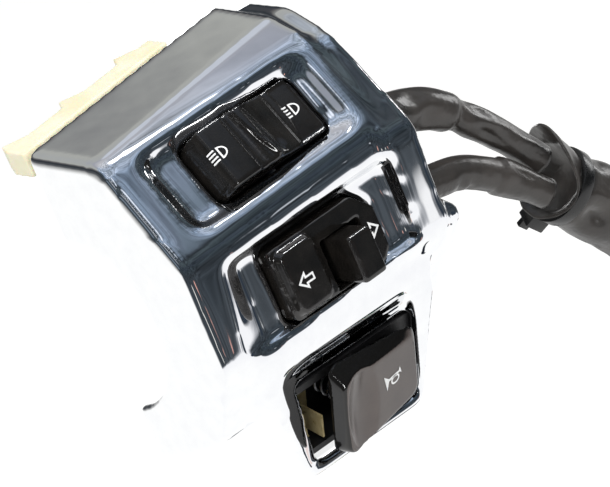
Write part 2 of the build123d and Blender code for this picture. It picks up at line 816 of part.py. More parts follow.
def grommet(route, radius):
    """A rubber collar round a sleeve, with a lip on each side of the inboard end."""
    inner, outer = housing_length - saddle_length, housing_length
    centre = route[0][1:]
    body = rod(place(inner, *centre), place(outer, *centre), radius + grommet_wall)
    lip = radius + grommet_wall + grommet_lip
    body += rod(place(outer, *centre), place(outer + grommet_lip_length, *centre), lip)
    bore = rod(place(inner - overrun, *centre), place(outer + overrun, *centre), radius + running_gap)
    return body - bore


def straight_wires(start, route):
    """Two wires from a switch base straight into a sleeve."""
    group = []
    for step in (-wire_radius * 3 / 2, wire_radius * 3 / 2):
        ends = [place(along, route[0][1] + step, route[0][2]) for along in (start, sleeve_start)]
        group.append(rod(*ends, wire_radius))
    return Compound(group)


def main_frame():
    first, second = place(*main_route[0]), place(*main_route[1])
    run = (second - first).normalized()
    return Plane(origin=first + run * tie_along, x_dir=run.cross(Vector(0, 1, 0)), z_dir=run)


def cable_tie():
    """A strap round the main sleeve, with its locking head and the cut tail."""
    frame = main_frame()
    half = tie_width / 2
    outer = main_radius + tie_thickness
    body = extrude(shifted(frame, 0, 0, -half) * Circle(outer), tie_width)
    near, far = outer - tie_thickness / 2, outer + tie_head - tie_thickness
    body += block(frame, (-far, -near), (-tie_head / 2, tie_head / 2), (-tie_head / 2, tie_head / 2))
    tail = (-far - tie_tail, -near)
    body += block(frame, tail, (-tie_thickness / 2, tie_thickness / 2), (-half, half))
    return body - extrude(shifted(frame, 0, 0, -housing_length) * Circle(main_radius), housing_length * 2)


def connector(centre, size):
    """A nylon plug housing, open at its lower end, with a latch on its front."""
    frame = Plane(origin=place(*centre), x_dir=(1, 0, 0), z_dir=(0, 0, 1))
    a, b, c = [x / 2 for x in size]
    body = block(frame, (-a, a), (-b, b), (-c, c))
    w = connector_wall
    body -= block(frame, (w - a, a - w), (w - b, b - w), (-c - overrun, connector_depth - c))
    return body + block(frame, (-a / 3, a / 3), (-b - connector_latch, -b), (-c / 2, c / 2))


def leads(centre, size, side_share):
    """Three loose wires from the end of the main sleeve to a connector."""
    end = main_route[-1]
    top = centre[2] + size[2] / 2 + side_gap
    start = end[2] - 2 * side_gap
    group = []
    for k in range(lead_count):
        step = (k - (lead_count - 1) / 2) * lead_pitch
        first = (end[0] + side_share * main_radius / 2, end[1] + step, start)
        route = [
            first,
            (first[0] + side_share * lead_pitch / 2, first[1], start + (top - start) / 3),
            (centre[0] - side_share * lead_pitch / 4, centre[1] + step, start + (top - start) * 2 / 3),
            (centre[0], centre[1] + step, top),
        ]
        group.append(tube(route, lead_radius))
    return Compound(group)


def save(name, shape):
    shape.label = name
    export_step(shape, f"parts/{name}.step")
    print(name, round(shape.volume, 1))


def main():
    os.makedirs("parts", exist_ok=True)
    save("housing_shell", housing_shell())
    save("beam_rocker", beam_rocker())
    save("beam_plunger", beam_plunger())
    save("beam_pivot_pin", beam_pivot_pin())
    save("beam_base", beam_base())
    top = pivot_drop - wall
    save("beam_board", board(beam_frame, top, beam_base_depth, beam_base_length, beam_base_width))
    save("beam_base_screws", base_screws(beam_frame, top, base_screw_places(beam_base_length)))
    save("turn_plate", turn_plate())
    save("turn_slider", turn_slider())
    save("turn_knob", turn_knob())
    save("turn_base", turn_base())
    save("turn_board", board(turn_base_frame, -wall, turn_base_depth, turn_base_length, turn_base_width))
    save("turn_base_screws", base_screws(turn_base_frame, -wall, base_screw_places(turn_base_length)))
    save("horn_paddle", horn_paddle())
    save("horn_hinge_pin", horn_hinge_pin())
    save("horn_base", horn_base())
    save("horn_spring", horn_spring())
    save("horn_fixed_contact", horn_fixed_contact())
    save("knob_spring", knob_spring())
    save("terminal_carrier", terminal_carrier())
    for name, route, radius in (
        ("upper_branch", upper_route, upper_branch_radius),
        ("lower_branch", lower_route, lower_branch_radius),
    ):
        save(name, tube(route, radius))
        save(name + "_grommet", grommet(route, radius))
    save("main_sleeve", tube(main_route, main_radius))
    save("cable_tie", cable_tie())
    save("beam_wires", straight_wires(beam_wire_start, upper_route))
    save("turn_wires", straight_wires(turn_wire_start, lower_route))
    save("horn_wire", tube(horn_wire_route, wire_radius))
    for (name, (centre, size)), side_share in zip(connectors.items(), (-1, 1)):
        save(name, connector(centre, size))
        save(name + "_leads", leads(centre, size, side_share))


main()
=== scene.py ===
import json
import math

import bmesh
import bpy
from mathutils import Matrix, Vector, noise
from mathutils.bvhtree import BVHTree


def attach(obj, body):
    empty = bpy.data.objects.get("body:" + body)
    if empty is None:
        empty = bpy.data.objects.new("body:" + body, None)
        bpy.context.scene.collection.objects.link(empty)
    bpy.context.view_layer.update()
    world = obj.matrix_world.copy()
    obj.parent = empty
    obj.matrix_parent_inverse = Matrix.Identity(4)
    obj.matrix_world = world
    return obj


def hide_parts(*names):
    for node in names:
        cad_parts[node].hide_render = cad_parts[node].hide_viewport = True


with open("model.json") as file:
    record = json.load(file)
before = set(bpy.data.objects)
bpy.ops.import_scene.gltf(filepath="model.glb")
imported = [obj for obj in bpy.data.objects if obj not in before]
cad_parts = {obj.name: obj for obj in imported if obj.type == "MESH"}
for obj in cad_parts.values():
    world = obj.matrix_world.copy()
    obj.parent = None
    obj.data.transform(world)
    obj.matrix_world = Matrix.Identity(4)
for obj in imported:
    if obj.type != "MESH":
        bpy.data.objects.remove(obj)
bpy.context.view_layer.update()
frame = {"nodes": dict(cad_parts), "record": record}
mm = 0.001
scene = bpy.context.scene


# Camera, at the photograph's angle

cameraFacts = {
    "place": (-0.3620, -0.5197, 0.1640),
    "right": (0.699, -0.607, -0.378),
    "up": (0.460, -0.023, 0.887),
    "lens": 200.07,
    "sensor": 36.0,
    "clipStart": 0.01,
}

lens = bpy.data.cameras.new("productCamera")
lens.lens = cameraFacts["lens"]
lens.sensor_width = cameraFacts["sensor"]
lens.sensor_fit = "HORIZONTAL"
lens.clip_start = cameraFacts["clipStart"]
cameraObject = bpy.data.objects.new("productCamera", lens)
scene.collection.objects.link(cameraObject)
rightWay = Vector(cameraFacts["right"]).normalized()
backWay = rightWay.cross(Vector(cameraFacts["up"])).normalized()
upWay = backWay.cross(rightWay).normalized()
turn = Matrix((rightWay, upWay, backWay)).transposed().to_4x4()
cameraObject.matrix_world = Matrix.Translation(cameraFacts["place"]) @ turn
scene.camera = cameraObject


# Node and mesh helpers

def linearColour(hexCode, alpha=1.0):
    parts = [int(hexCode[i:i + 2], 16) / 255 for i in (1, 3, 5)]
    return [c / 12.92 if c <= 0.04045 else ((c + 0.055) / 1.055) ** 2.4 for c in parts] + [alpha]


def addNode(tree, kind, settings=None, links=None):
    node = tree.nodes.new(kind)
    for key, value in (settings or {}).items():
        if isinstance(key, str) and hasattr(node, key):
            setattr(node, key, value)
        else:
            node.inputs[key].default_value = value
    for key, source in (links or {}).items():
        tree.links.new(source, node.inputs[key])
    return node


def evaluatedMesh(piece):
    bpy.context.view_layer.update()
    return bpy.data.meshes.new_from_object(piece.evaluated_get(bpy.context.evaluated_depsgraph_get()))


def fillRamp(ramp, stops):
    elements = ramp.color_ramp.elements
    while len(elements) > 1:
        elements.remove(elements[-1])
    elements[0].position, elements[0].color = stops[0][0], stops[0][1]
    for place, colour in stops[1:]:
        elements.new(place).color = colour
    return ramp


def newMaterial(name):
    material = bpy.data.materials.new(name)
    material.use_nodes = True
    tree = material.node_tree
    tree.nodes.clear()
    shader = addNode(tree, "ShaderNodeBsdfPrincipled")
    addNode(tree, "ShaderNodeOutputMaterial", {}, {"Surface": shader.outputs[0]})
    where = addNode(tree, "ShaderNodeTexCoord").outputs["Object"]
    return material, tree, shader, where


def grain(tree, where, size, detail=3.0, stretch=(1, 1, 1)):
    # clouds about size mm across
    mapped = addNode(tree, "ShaderNodeMapping", {"Scale": stretch}, {"Vector": where})
    settings = {"Scale": 1 / (size * mm), "Detail": detail, "Roughness": surfaceFacts["noiseRoughness"]}
    return addNode(tree, "ShaderNodeTexNoise", settings, {"Vector": mapped.outputs[0]})


# shared by all finishes: the part of the noise that a colour or roughness spans, a bump's depth
# as a share of its grain, and how deep light goes into a translucent plastic
surfaceFacts = {
    "noiseRoughness": 0.55, "colourSpan": (0.35, 0.65), "wideSpan": (0.3, 0.7), "chromeSpan": (0.35, 0.75),
    "bumpShare": 0.3, "glowDepth": 1.0, "facedBlend": 0.03,
}


def toneStops(facts, span):
    return [(span[0], linearColour(facts["dark"])), (span[1], linearColour(facts["light"]))]


def mapSpan(span, onto=(0.0, 1.0)):
    return {"From Min": span[0], "From Max": span[1], "To Min": onto[0], "To Max": onto[1]}


def plainPlastic(name, facts):
    # moulded plastic: even colour with a faint mottle, roughness that wanders, fine moulded texture
    material, tree, shader, where = newMaterial(name)
    cloud = grain(tree, where, facts["mottle"], 4.0)
    ramp = fillRamp(
        addNode(tree, "ShaderNodeValToRGB", {}, {"Fac": cloud.outputs["Fac"]}),
        toneStops(facts, surfaceFacts["colourSpan"]),
    )
    tree.links.new(ramp.outputs[0], shader.inputs["Base Color"])
    rough = addNode(
        tree, "ShaderNodeMapRange", mapSpan(surfaceFacts["wideSpan"], facts["rough"]),
        {"Value": cloud.outputs["Fac"]},
    )
    tree.links.new(rough.outputs[0], shader.inputs["Roughness"])
    fine = grain(tree, where, facts["grain"], 2.0, facts.get("stretch", (1, 1, 1)))
    depth = facts["grain"] * surfaceFacts["bumpShare"] * mm
    texture = addNode(
        tree, "ShaderNodeBump", {"Strength": facts["bump"], "Distance": depth}, {"Height": fine.outputs["Fac"]},
    )
    tree.links.new(texture.outputs[0], shader.inputs["Normal"])
    shader.inputs["IOR"].default_value = facts.get("ior", 1.5)
    shader.inputs["Metallic"].default_value = facts.get("metal", 0.0)
    shader.inputs["Subsurface Weight"].default_value = facts.get("glow", 0.0)
    shader.inputs["Subsurface Scale"].default_value = surfaceFacts["glowDepth"] * mm
    return material


def chromePlate(name, facts):
    # decorative chrome on polished zinc: a mirror with a faint waviness from polishing before plating
    material, tree, shader, where = newMaterial(name)
    wave = grain(tree, where, facts["wave"], 1.0)
    pits = grain(tree, where, facts["haze"], 4.0)
    tint = fillRamp(
        addNode(tree, "ShaderNodeValToRGB", {}, {"Fac": pits.outputs["Fac"]}),
        toneStops(facts, surfaceFacts["wideSpan"]),
    )
    tree.links.new(tint.outputs[0], shader.inputs["Base Color"])
    rough = addNode(
        tree, "ShaderNodeMapRange", mapSpan(surfaceFacts["chromeSpan"], facts["rough"]),
        {"Value": pits.outputs["Fac"]},
    )
    tree.links.new(rough.outputs[0], shader.inputs["Roughness"])
    ripple = addNode(
        tree, "ShaderNodeBump", {"Strength": facts["bump"], "Distance": facts["depth"] * mm},
        {"Height": wave.outputs["Fac"]},
    )
    tree.links.new(ripple.outputs[0], shader.inputs["Normal"])
    shader.inputs["Metallic"].default_value = 1.0
    return material


# Materials, each for the real one and how its surface was made.
# dark and light are its two tones; mottle, haze, wave and grain are the sizes of its patterns in mm

finishFacts = {
    # zinc polished and chrome plated: a mirror with a slow waviness and hardly any tint
    "chrome": {
        "dark": "#EDEEF0", "light": "#F2F3F4", "rough": (0.02, 0.05), "wave": 9.0, "haze": 3.0,
        "bump": 0.22, "depth": 0.09,
    },
    # ABS moulded in a polished tool: near black, with sharp light along its edges
    "glossBlack": {
        "dark": "#0F0E0D", "light": "#171513", "mottle": 5.0, "rough": (0.06, 0.13), "grain": 0.9,
        "bump": 0.02, "ior": 1.62,
    },
    # glass-filled nylon from an etched tool: a dry dark grey
    "mattBlack": {
        "dark": "#141415", "light": "#1D1D1F", "mottle": 4.0, "rough": (0.42, 0.6), "grain": 0.4, "bump": 0.15,
    },
    # black ABS with a satin face and painted sheen: the face is a warm dark grey, painted lighter than the
    # black rim to stand in for the light the face catches; its satin roughness spreads the light
    "paddleFacePaintedSheen": {
        "dark": "#453F3D", "light": "#4F4845", "mottle": 7.0, "rough": (0.22, 0.34), "grain": 0.5, "bump": 0.04,
    },
    # acetal, moulded: a cool waxy white
    "acetal": {
        "dark": "#DFDDD4", "light": "#ECEAE2", "mottle": 3.0, "rough": (0.28, 0.4), "grain": 0.4,
        "bump": 0.05, "ior": 1.48,
    },
    # undyed nylon, moulded: pale cream that light enters a little
    "nylon": {
        "dark": "#F3ECC8", "light": "#F8F3DA", "mottle": 6.0, "rough": (0.4, 0.55), "grain": 0.6,
        "bump": 0.08, "ior": 1.53, "glow": 0.15,
    },
    # phenolic paper, sawn: brown with a fine grain one way
    "board": {
        "dark": "#4A2B14", "light": "#6A4122", "mottle": 2.0, "rough": (0.5, 0.7), "grain": 0.5,
        "bump": 0.2, "stretch": (1, 6, 1),
    },
    # steel wire and rod, drawn: a soft grey shine
    "steel": {
        "dark": "#A7A8AA", "light": "#C2C3C5", "mottle": 2.0, "rough": (0.22, 0.38), "grain": 0.2,
        "bump": 0.05, "metal": 1.0,
    },
    # brass strip, rolled and dulled by handling: a pale straw colour, half metal and half tarnish
    "brass": {
        "dark": "#C2AE7C", "light": "#DCCB9C", "mottle": 2.0, "rough": (0.25, 0.4), "grain": 0.2,
        "bump": 0.05, "metal": 0.5,
    },
    # EPDM rubber, moulded: black without shine
    "rubber": {
        "dark": "#141414", "light": "#1E1E1E", "mottle": 3.0, "rough": (0.55, 0.75), "grain": 0.4,
        "bump": 0.2, "ior": 1.52,
    },
    # black nylon of a cable tie, moulded: a smooth low shine
    "tieNylon": {
        "dark": "#0C0C0C", "light": "#161616", "mottle": 3.0, "rough": (0.22, 0.35), "grain": 0.5,
        "bump": 0.05, "ior": 1.53,
    },
    # soft PVC tube, extruded: warm black with long soft highlights on its creases
    "sleeve": {
        "dark": "#2A2826", "light": "#3A3633", "mottle": 8.0, "rough": (0.26, 0.38), "grain": 2.6,
        "bump": 0.25, "ior": 1.54,
    },
    # PVC wire cover, extruded in three colours: even and slightly shiny
    "blueWire": {
        "dark": "#1B3C86", "light": "#2A52A8", "mottle": 3.0, "rough": (0.35, 0.5), "grain": 0.5,
        "bump": 0.05, "ior": 1.52,
    },
    "greenWire": {
        "dark": "#1A6B34", "light": "#2B8A48", "mottle": 3.0, "rough": (0.35, 0.5), "grain": 0.5,
        "bump": 0.05, "ior": 1.52,
    },
    "brownWire": {
        "dark": "#5A3420", "light": "#714530", "mottle": 3.0, "rough": (0.35, 0.5), "grain": 0.5,
        "bump": 0.05, "ior": 1.52,
    },
    # white ink, pad printed: an even, slightly raised film
    "symbolInk": {
        "dark": "#EDEFF0", "light": "#FAFAFA", "mottle": 1.5, "rough": (0.35, 0.5), "grain": 0.3, "bump": 0.05,
    },
}
# the paddle's face in object space, and the cosine at which its satin and its painted sheen end
paddleFacing = (0.130, -0.897, -0.423)
paddleEdge = 0.86


def satinFaceWithPaintedSheen(name, face, rim, facing, edge):
    # a satin face on a glossy moulding, with painted sheen: the face, found by the way its surface points, is
    # painted a lighter grey than the black rim to stand in for the light it catches; the satin and the painted
    # sheen stop where the surface turns away
    material, tree, shader, where = newMaterial(name)
    turned = addNode(tree, "ShaderNodeTexCoord").outputs["Normal"]
    dot = addNode(tree, "ShaderNodeVectorMath", {"operation": "DOT_PRODUCT", 1: facing}, {0: turned})
    blend = surfaceFacts["facedBlend"]
    share = addNode(
        tree, "ShaderNodeMapRange", mapSpan((edge - blend, edge + blend)), {"Value": dot.outputs["Value"]},
    )
    # painted sheen: the face's lighter grey, mixed over the rim's black by the way the surface points
    cloud = grain(tree, where, face["mottle"], 4.0)
    paintedSheen = fillRamp(
        addNode(tree, "ShaderNodeValToRGB", {}, {"Fac": cloud.outputs["Fac"]}),
        toneStops(face, surfaceFacts["wideSpan"]),
    )
    colour = addNode(
        tree, "ShaderNodeMix", {"data_type": "RGBA", 6: linearColour(rim["dark"])},
        {0: share.outputs[0], 7: paintedSheen.outputs[0]},
    )
    tree.links.new(colour.outputs[2], shader.inputs["Base Color"])
    both = (rim["rough"][0], face["rough"][0])
    rough = addNode(tree, "ShaderNodeMapRange", mapSpan((0.0, 1.0), both), {"Value": share.outputs[0]})
    tree.links.new(rough.outputs[0], shader.inputs["Roughness"])
    fine = grain(tree, where, face["grain"], 2.0)
    depth = face["grain"] * surfaceFacts["bumpShare"] * mm
    texture = addNode(
        tree, "ShaderNodeBump", {"Strength": face["bump"], "Distance": depth}, {"Height": fine.outputs["Fac"]},
    )
    tree.links.new(texture.outputs[0], shader.inputs["Normal"])
    return material


chromeMaterial = chromePlate("chromePlatedZinc", finishFacts["chrome"])
glossBlackMaterial = plainPlastic("polishedBlackAbs", finishFacts["glossBlack"])
mattBlackMaterial = plainPlastic("mouldedBlackNylon", finishFacts["mattBlack"])
# the horn paddle: black ABS whose face carries painted sheen
paddleMaterial = satinFaceWithPaintedSheen(
    "blackAbsWithPaintedSheenFace", finishFacts["paddleFacePaintedSheen"], finishFacts["glossBlack"], paddleFacing, paddleEdge,
)
acetalMaterial = plainPlastic("whiteAcetal", finishFacts["acetal"])
nylonMaterial = plainPlastic("naturalNylon", finishFacts["nylon"])
boardMaterial = plainPlastic("phenolicBoard", finishFacts["board"])
steelMaterial = plainPlastic("drawnSteel", finishFacts["steel"])
brassMaterial = plainPlastic("rolledBrass", finishFacts["brass"])
rubberMaterial = plainPlastic("mouldedRubber", finishFacts["rubber"])
tieMaterial = plainPlastic("blackTieNylon", finishFacts["tieNylon"])
sleeveMaterial = plainPlastic("softPvcSleeve", finishFacts["sleeve"])
blueWireMaterial = plainPlastic("bluePvcWire", finishFacts["blueWire"])
greenWireMaterial = plainPlastic("greenPvcWire", finishFacts["greenWire"])
brownWireMaterial = plainPlastic("brownPvcWire", finishFacts["brownWire"])
inkMaterial = plainPlastic("whitePadPrint", finishFacts["symbolInk"])
print("materials are made")


# Cords: the two sleeves from the casing and the main sleeve over them
# route: mm inboard of the casing's end, forward of the bar's axis and above it
# swell: (mm along, mm added to the radius), eased from one stop to the next
# dents: mm along, degrees from the side that faces the camera, width along, width round, depth

outboardX = -53.4


def row(along, depth, rise):
    return Vector((outboardX + along, -depth, rise)) * mm


cordFacts = {
    "upperBranch": {
        "route": [(48, 20, 12.4), (66, 20, 12.4), (84, 19.6, 1.4), (96.6, 18.4, -14.8)],
        "radius": 3.8, "node": "upper_branch", "slot": "black_pvc", "far": "object",
        "ripple": 0.22, "seed": Vector((1, 0, 0)),
        "swell": [(10, 0.2), (24, 0.45), (31, 0.2), (35, -0.6), (38, -0.4), (50, -0.7)],
        "dents": [
            (21, -30, 3.0, 30, 0.8), (24, 25, 2.5, 30, 0.7), (33.5, 15, 1.3, 60, 0.9), (37, -45, 3.0, 30, 0.7),
            (42, 20, 3.5, 26, 1.0), (30, 150, 6, 40, 0.5),
        ],
    },
    "lowerBranch": {
        "route": [(48, 20, -4.2), (64, 20, -4.2), (81, 20.4, -7.8), (92.3, 21.6, -20.1)],
        "radius": 3.4, "node": "lower_branch", "slot": "black_pvc", "far": "object",
        "ripple": 0.16, "seed": Vector((7, 0, 0)),
        "swell": [(10, 0.05), (36, 0.0), (36.5, 0.5), (47, -0.3)],
        "dents": [
            (25.5, 55, 0.9, 26, 0.6), (29.0, 60, 1.0, 28, 0.6), (20, 0, 6, 26, 0.3), (42, -30, 3, 30, 0.6),
        ],
    },
    "mainSleeve": {
        "route": [
            (94.8, 20, -18), (112, 20, -35.2), (120.5, 20, -59), (119.5, 21, -90), (117, 19.5, -118),
            (118.5, 18, -140),
        ],
        "radius": 7.5, "node": "main_sleeve", "slot": "black_pvc", "far": "connector",
        "ripple": 0.3, "seed": Vector((3, 5, 0)),
        "swell": [(0, 0.5), (2, -0.3), (4.2, -1.1), (7, -0.1), (12, 0.5), (26, 0.1), (110, 0.0)],
        "dents": [
            (10.5, 26, 3.0, 20, 2.6), (9.5, -8, 4.0, 7, -0.5), (18, -34, 8.0, 9, 1.1), (22, 60, 6, 25, 0.5),
            (40, 20, 14, 30, 0.5), (70, -60, 18, 40, 0.5), (95, 60, 16, 40, 0.5),
        ],
        # the open end behind the tie: a notch in front, a lifted and flared lip on top, pleats at the neck
        "mouth": {
            "notch": 10, "wide": 55, "depth": 3.0, "reach": 4.2, "lift": 6.5, "top": -85, "topWide": 62,
            "flare": 1.6, "neck": 4.2, "pleat": 0.3, "pleats": 6, "neckWide": 2.6,
        },
    },
}
# step: mm between rings; lips: which rings close the mouth inwards and how far;
# rippleLength and rippleRound: the size of the unevenness
tubeFacts = {
    "step": 0.7, "segments": 72, "lips": ((6, 0.72), (3, 0.84), (0, 0.93)),
    "rippleLength": 5.0, "rippleRound": 2, "lineSteps": 40,
}


def routeLine(route):
    line = bpy.data.curves.new("routeLine", "CURVE")
    line.dimensions = "3D"
    spline = line.splines.new("NURBS")
    spline.points.add(len(route) - 1)
    for point, place in zip(spline.points, route):
        point.co = (*row(*place), 1)
    spline.order_u = 3
    spline.use_endpoint_u = True
    line.resolution_u = tubeFacts["lineSteps"]
    holder = bpy.data.objects.new("routeLine", line)
    scene.collection.objects.link(holder)
    points = [v.co.copy() for v in evaluatedMesh(holder).vertices]
    bpy.data.objects.remove(holder)
    return points


def stationsOf(points, step):
    stations, done, wanted = [], 0.0, 0.0
    for a, b in zip(points, points[1:]):
        length = (b - a).length
        while wanted <= done + length:
            stations.append((wanted, a.lerp(b, (wanted - done) / length), (b - a).normalized()))
            wanted += step
        done += length
    return stations


def turnFrom(angle, centre):
    return (angle - centre + 180) % 360 - 180


def dent(along, angle, hollow):
    place, centre, length, width, depth = hollow
    return depth * math.exp(-((along - place) / length) ** 2 - (turnFrom(angle, centre) / width) ** 2)


def mouthShape(mouth, along, angle):
    # how far the open end moves along the route and out from it
    pull = max(0.0, 1 - along / mouth["reach"])
    tall = math.exp(-(turnFrom(angle, mouth["top"]) / mouth["topWide"]) ** 2) * pull
    notch = math.exp(-(turnFrom(angle, mouth["notch"]) / mouth["wide"]) ** 2) * pull
    pleats = math.cos(math.radians(angle * mouth["pleats"]))
    pleats *= math.exp(-((along - mouth["neck"]) / mouth["neckWide"]) ** 2)
    return mouth["depth"] * notch - mouth["lift"] * tall, mouth["flare"] * tall, mouth["pleat"] * pleats


def sleeveTube(name, facts, material):
    points = routeLine(facts["route"])
    stations = stationsOf(points, tubeFacts["step"] * mm)
    segments = tubeFacts["segments"]
    mouth = facts.get("mouth")
    rings = [(s, place, way, 1.0) for s, place, way in stations]
    if mouth:
        rings = [(*stations[i], share) for i, share in tubeFacts["lips"]] + rings
    work = bmesh.new()
    ring = bmesh.ops.create_circle(work, segments=segments, radius=1)["verts"]
    first = ring
    for index, (s, place, way, share) in enumerate(rings):
        if index:
            held = set(ring)
            around = {e for v in ring for e in v.link_edges}
            edges = [e for e in around if e.verts[0] in held and e.verts[1] in held]
            grown = bmesh.ops.extrude_edge_only(work, edges=edges)["geom"]
            fresh = {v for v in grown if isinstance(v, bmesh.types.BMVert)}
            ring = [next(e.other_vert(v) for e in v.link_edges if e.other_vert(v) in fresh) for v in ring]
        front = (backWay - way * backWay.dot(way)).normalized()
        side = way.cross(front)
        for i, vert in enumerate(ring):
            angle = 360 * i / segments
            along = s / mm
            radius = facts["radius"] + profileAt(facts["swell"], along)
            for hollow in facts["dents"]:
                radius -= dent(along, angle, hollow)
            turned = math.radians(angle)
            spot = Vector((
                along / tubeFacts["rippleLength"],
                tubeFacts["rippleRound"] * math.cos(turned),
                tubeFacts["rippleRound"] * math.sin(turned),
            ))
            radius = (radius + facts["ripple"] * noise.noise(spot + facts["seed"])) * share
            shift = 0.0
            if mouth:
                shift, flare, pleat = mouthShape(mouth, along, angle)
                radius += flare
                radius += pleat
            outward = front * math.cos(turned) + side * math.sin(turned)
            vert.co = place + way * shift * mm + outward * radius * mm
    work.faces.new(first)
    work.faces.new(ring)
    bmesh.ops.recalc_face_normals(work, faces=work.faces)
    mesh = bpy.data.meshes.new(name)
    work.to_mesh(mesh)
    work.free()
    mesh.shade_smooth()
    mesh.materials.append(material)
    piece = bpy.data.objects.new(name, mesh)
    scene.collection.objects.link(piece)
    piece.visible_glossy = name != "mainSleeve"    # the chrome beside it stays free of its dark image
    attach(piece, "casing")
    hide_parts(facts["node"])
    return piece


def profileAt(stops, along):
    if along <= stops[0][0]:
        return stops[0][1]
    for (a, low), (b, high) in zip(stops, stops[1:]):
        if along <= b:
            t = (along - a) / (b - a)
            return low + (high - low) * t * t * (3 - 2 * t)
    return stops[-1][1]


def bandRing(name, facts, material):
    points = routeLine(cordFacts["mainSleeve"]["route"])
    stations = stationsOf(points, facts["step"] * mm)
    place, way = stations[round(facts["along"] / facts["step"])][1:]
    front = (backWay - way * backWay.dot(way)).normalized()
    side = way.cross(front)
    turned = Matrix((front, side, way)).transposed().to_4x4()
    work = bmesh.new()
    half, inner, outer = facts["width"] / 2, facts["inner"], facts["inner"] + facts["thick"]
    section = ((inner, 0, -half), (outer, 0, -half), (outer, 0, half), (inner, 0, half))
    corners = [work.verts.new(c) for c in section]
    edges = [work.edges.new((corners[i], corners[(i + 1) % 4])) for i in range(4)]
    bmesh.ops.spin(
        work, geom=corners + edges, cent=(0, 0, 0), axis=(0, 0, 1), angle=math.tau, steps=facts["steps"],
        use_merge=True,
    )
    bmesh.ops.remove_doubles(work, verts=work.verts, dist=facts["merge"])
    aside = math.radians(facts["headTurn"])
    spot = Vector((math.cos(aside), math.sin(aside), 0))
    across = Vector((-spot.y, spot.x, 0))
    for part in ("head", "tail"):
        size, sunk, push = facts[part], facts[part + "Sunk"], facts[part + "Push"]
        block = bmesh.ops.create_cube(work, size=1)["verts"]
        bmesh.ops.scale(work, vec=size, verts=block)
        bmesh.ops.rotate(work, matrix=Matrix.Rotation(aside, 3, "Z"), verts=block)
        bmesh.ops.translate(work, vec=spot * (outer + size[0] / 2 - sunk) + across * push, verts=block)
    sharp = [e for e in work.edges if len(e.link_faces) == 2 and e.calc_face_angle(0) > facts["sharpAbove"]]
    bmesh.ops.bevel(
        work, geom=sharp, offset=facts["edge"], offset_type="OFFSET", segments=2, profile=0.5,
        affect="EDGES", material=-1,
    )
    bmesh.ops.recalc_face_normals(work, faces=work.faces)
    bmesh.ops.scale(work, vec=(mm, mm, mm), verts=work.verts)
    bmesh.ops.transform(work, matrix=Matrix.Translation(place) @ turned, verts=work.verts)
    mesh = bpy.data.meshes.new(name)
    work.to_mesh(mesh)
    work.free()
    mesh.shade_smooth()
    mesh.set_sharp_from_angle(angle=math.radians(facts["smoothBelow"]))
    mesh.materials.append(material)
    piece = bpy.data.objects.new(name, mesh)
    scene.collection.objects.link(piece)
    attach(piece, "casing")
    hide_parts("cable_tie")
    return piece


# mm along the main sleeve and across the strap; the head and the cut tail stand out at headTurn degrees
tieFacts = {
    "along": 4.2, "width": 2.6, "inner": 6.5, "thick": 1.45, "headTurn": 118,
    "head": (2.6, 4.6, 4.2), "headSunk": 0.3, "headPush": 0.0,
    "tail": (4.6, 1.3, 2.4), "tailSunk": 0.2, "tailPush": 1.2,
    "step": 0.1, "steps": 72, "merge": 0.001, "edge": 0.22, "sharpAbove": 0.8, "smoothBelow": 40,
}
cableTie = bandRing("cableTie", tieFacts, tieMaterial)
upperSleeve = sleeveTube("upperBranch", cordFacts["upperBranch"], sleeveMaterial)
lowerSleeve = sleeveTube("lowerBranch", cordFacts["lowerBranch"], sleeveMaterial)
mainSleeve = sleeveTube(
    "mainSleeve", cordFacts["mainSleeve"], sleeveMaterial,
)
print("sleeves are made")


# Hard pieces: a merged copy of each CAD node, remeshed and eased so that its edges are round,
# as moulded or polished ones are

copyFacts = {"mostTriangles": 180000, "merge": 0.002, "easing": 0.5}


def ease(work, verts, times):
    for _ in range(times):
        bmesh.ops.smooth_vert(
            work, verts=verts, factor=copyFacts["easing"], use_axis_x=True, use_axis_y=True, use_axis_z=True,
        )


def nearLine(point, start, end):
    run = end - start
    share = min(1.0, max(0.0, (point - start).dot(run) / run.length_squared)) if run.length else 0.0
    return (point - (start + run * share)).length


def softenHousing(work):
    # the polished blends, each along a line: its two ends, its reach in mm and how often it is eased
    for start, end, reach, times in softZones:
        a, b = Vector(start) * mm, Vector(end) * mm
        ease(work, [v for v in work.verts if nearLine(v.co, a, b) < reach * mm], times)


softZones = [
    ((-48, -29.5, -14.5), (-44.5, -27, -21), 5.5, 60),    # the lug's root
    ((-54, -20.5, 32.4), (4, -24.5, 31.4), 3.2, 16),    # the ridge under the top plate
    ((-30, -22, 33), (4, -25.5, 30), 4.0, 10),    # the inboard half of that ridge
    ((-41.8, -27.5, 22.4), (-6.8, -29.1, 24.6), 12.5, 22),    # the upper recess
    ((-43, -33.8, -1), (-5, -35, 0.4), 10.5, 6),    # the middle recess
    ((-44, -31.5, -14.6), (-8, -33, -13.5), 4.6, 36),    # the band above the horn
]

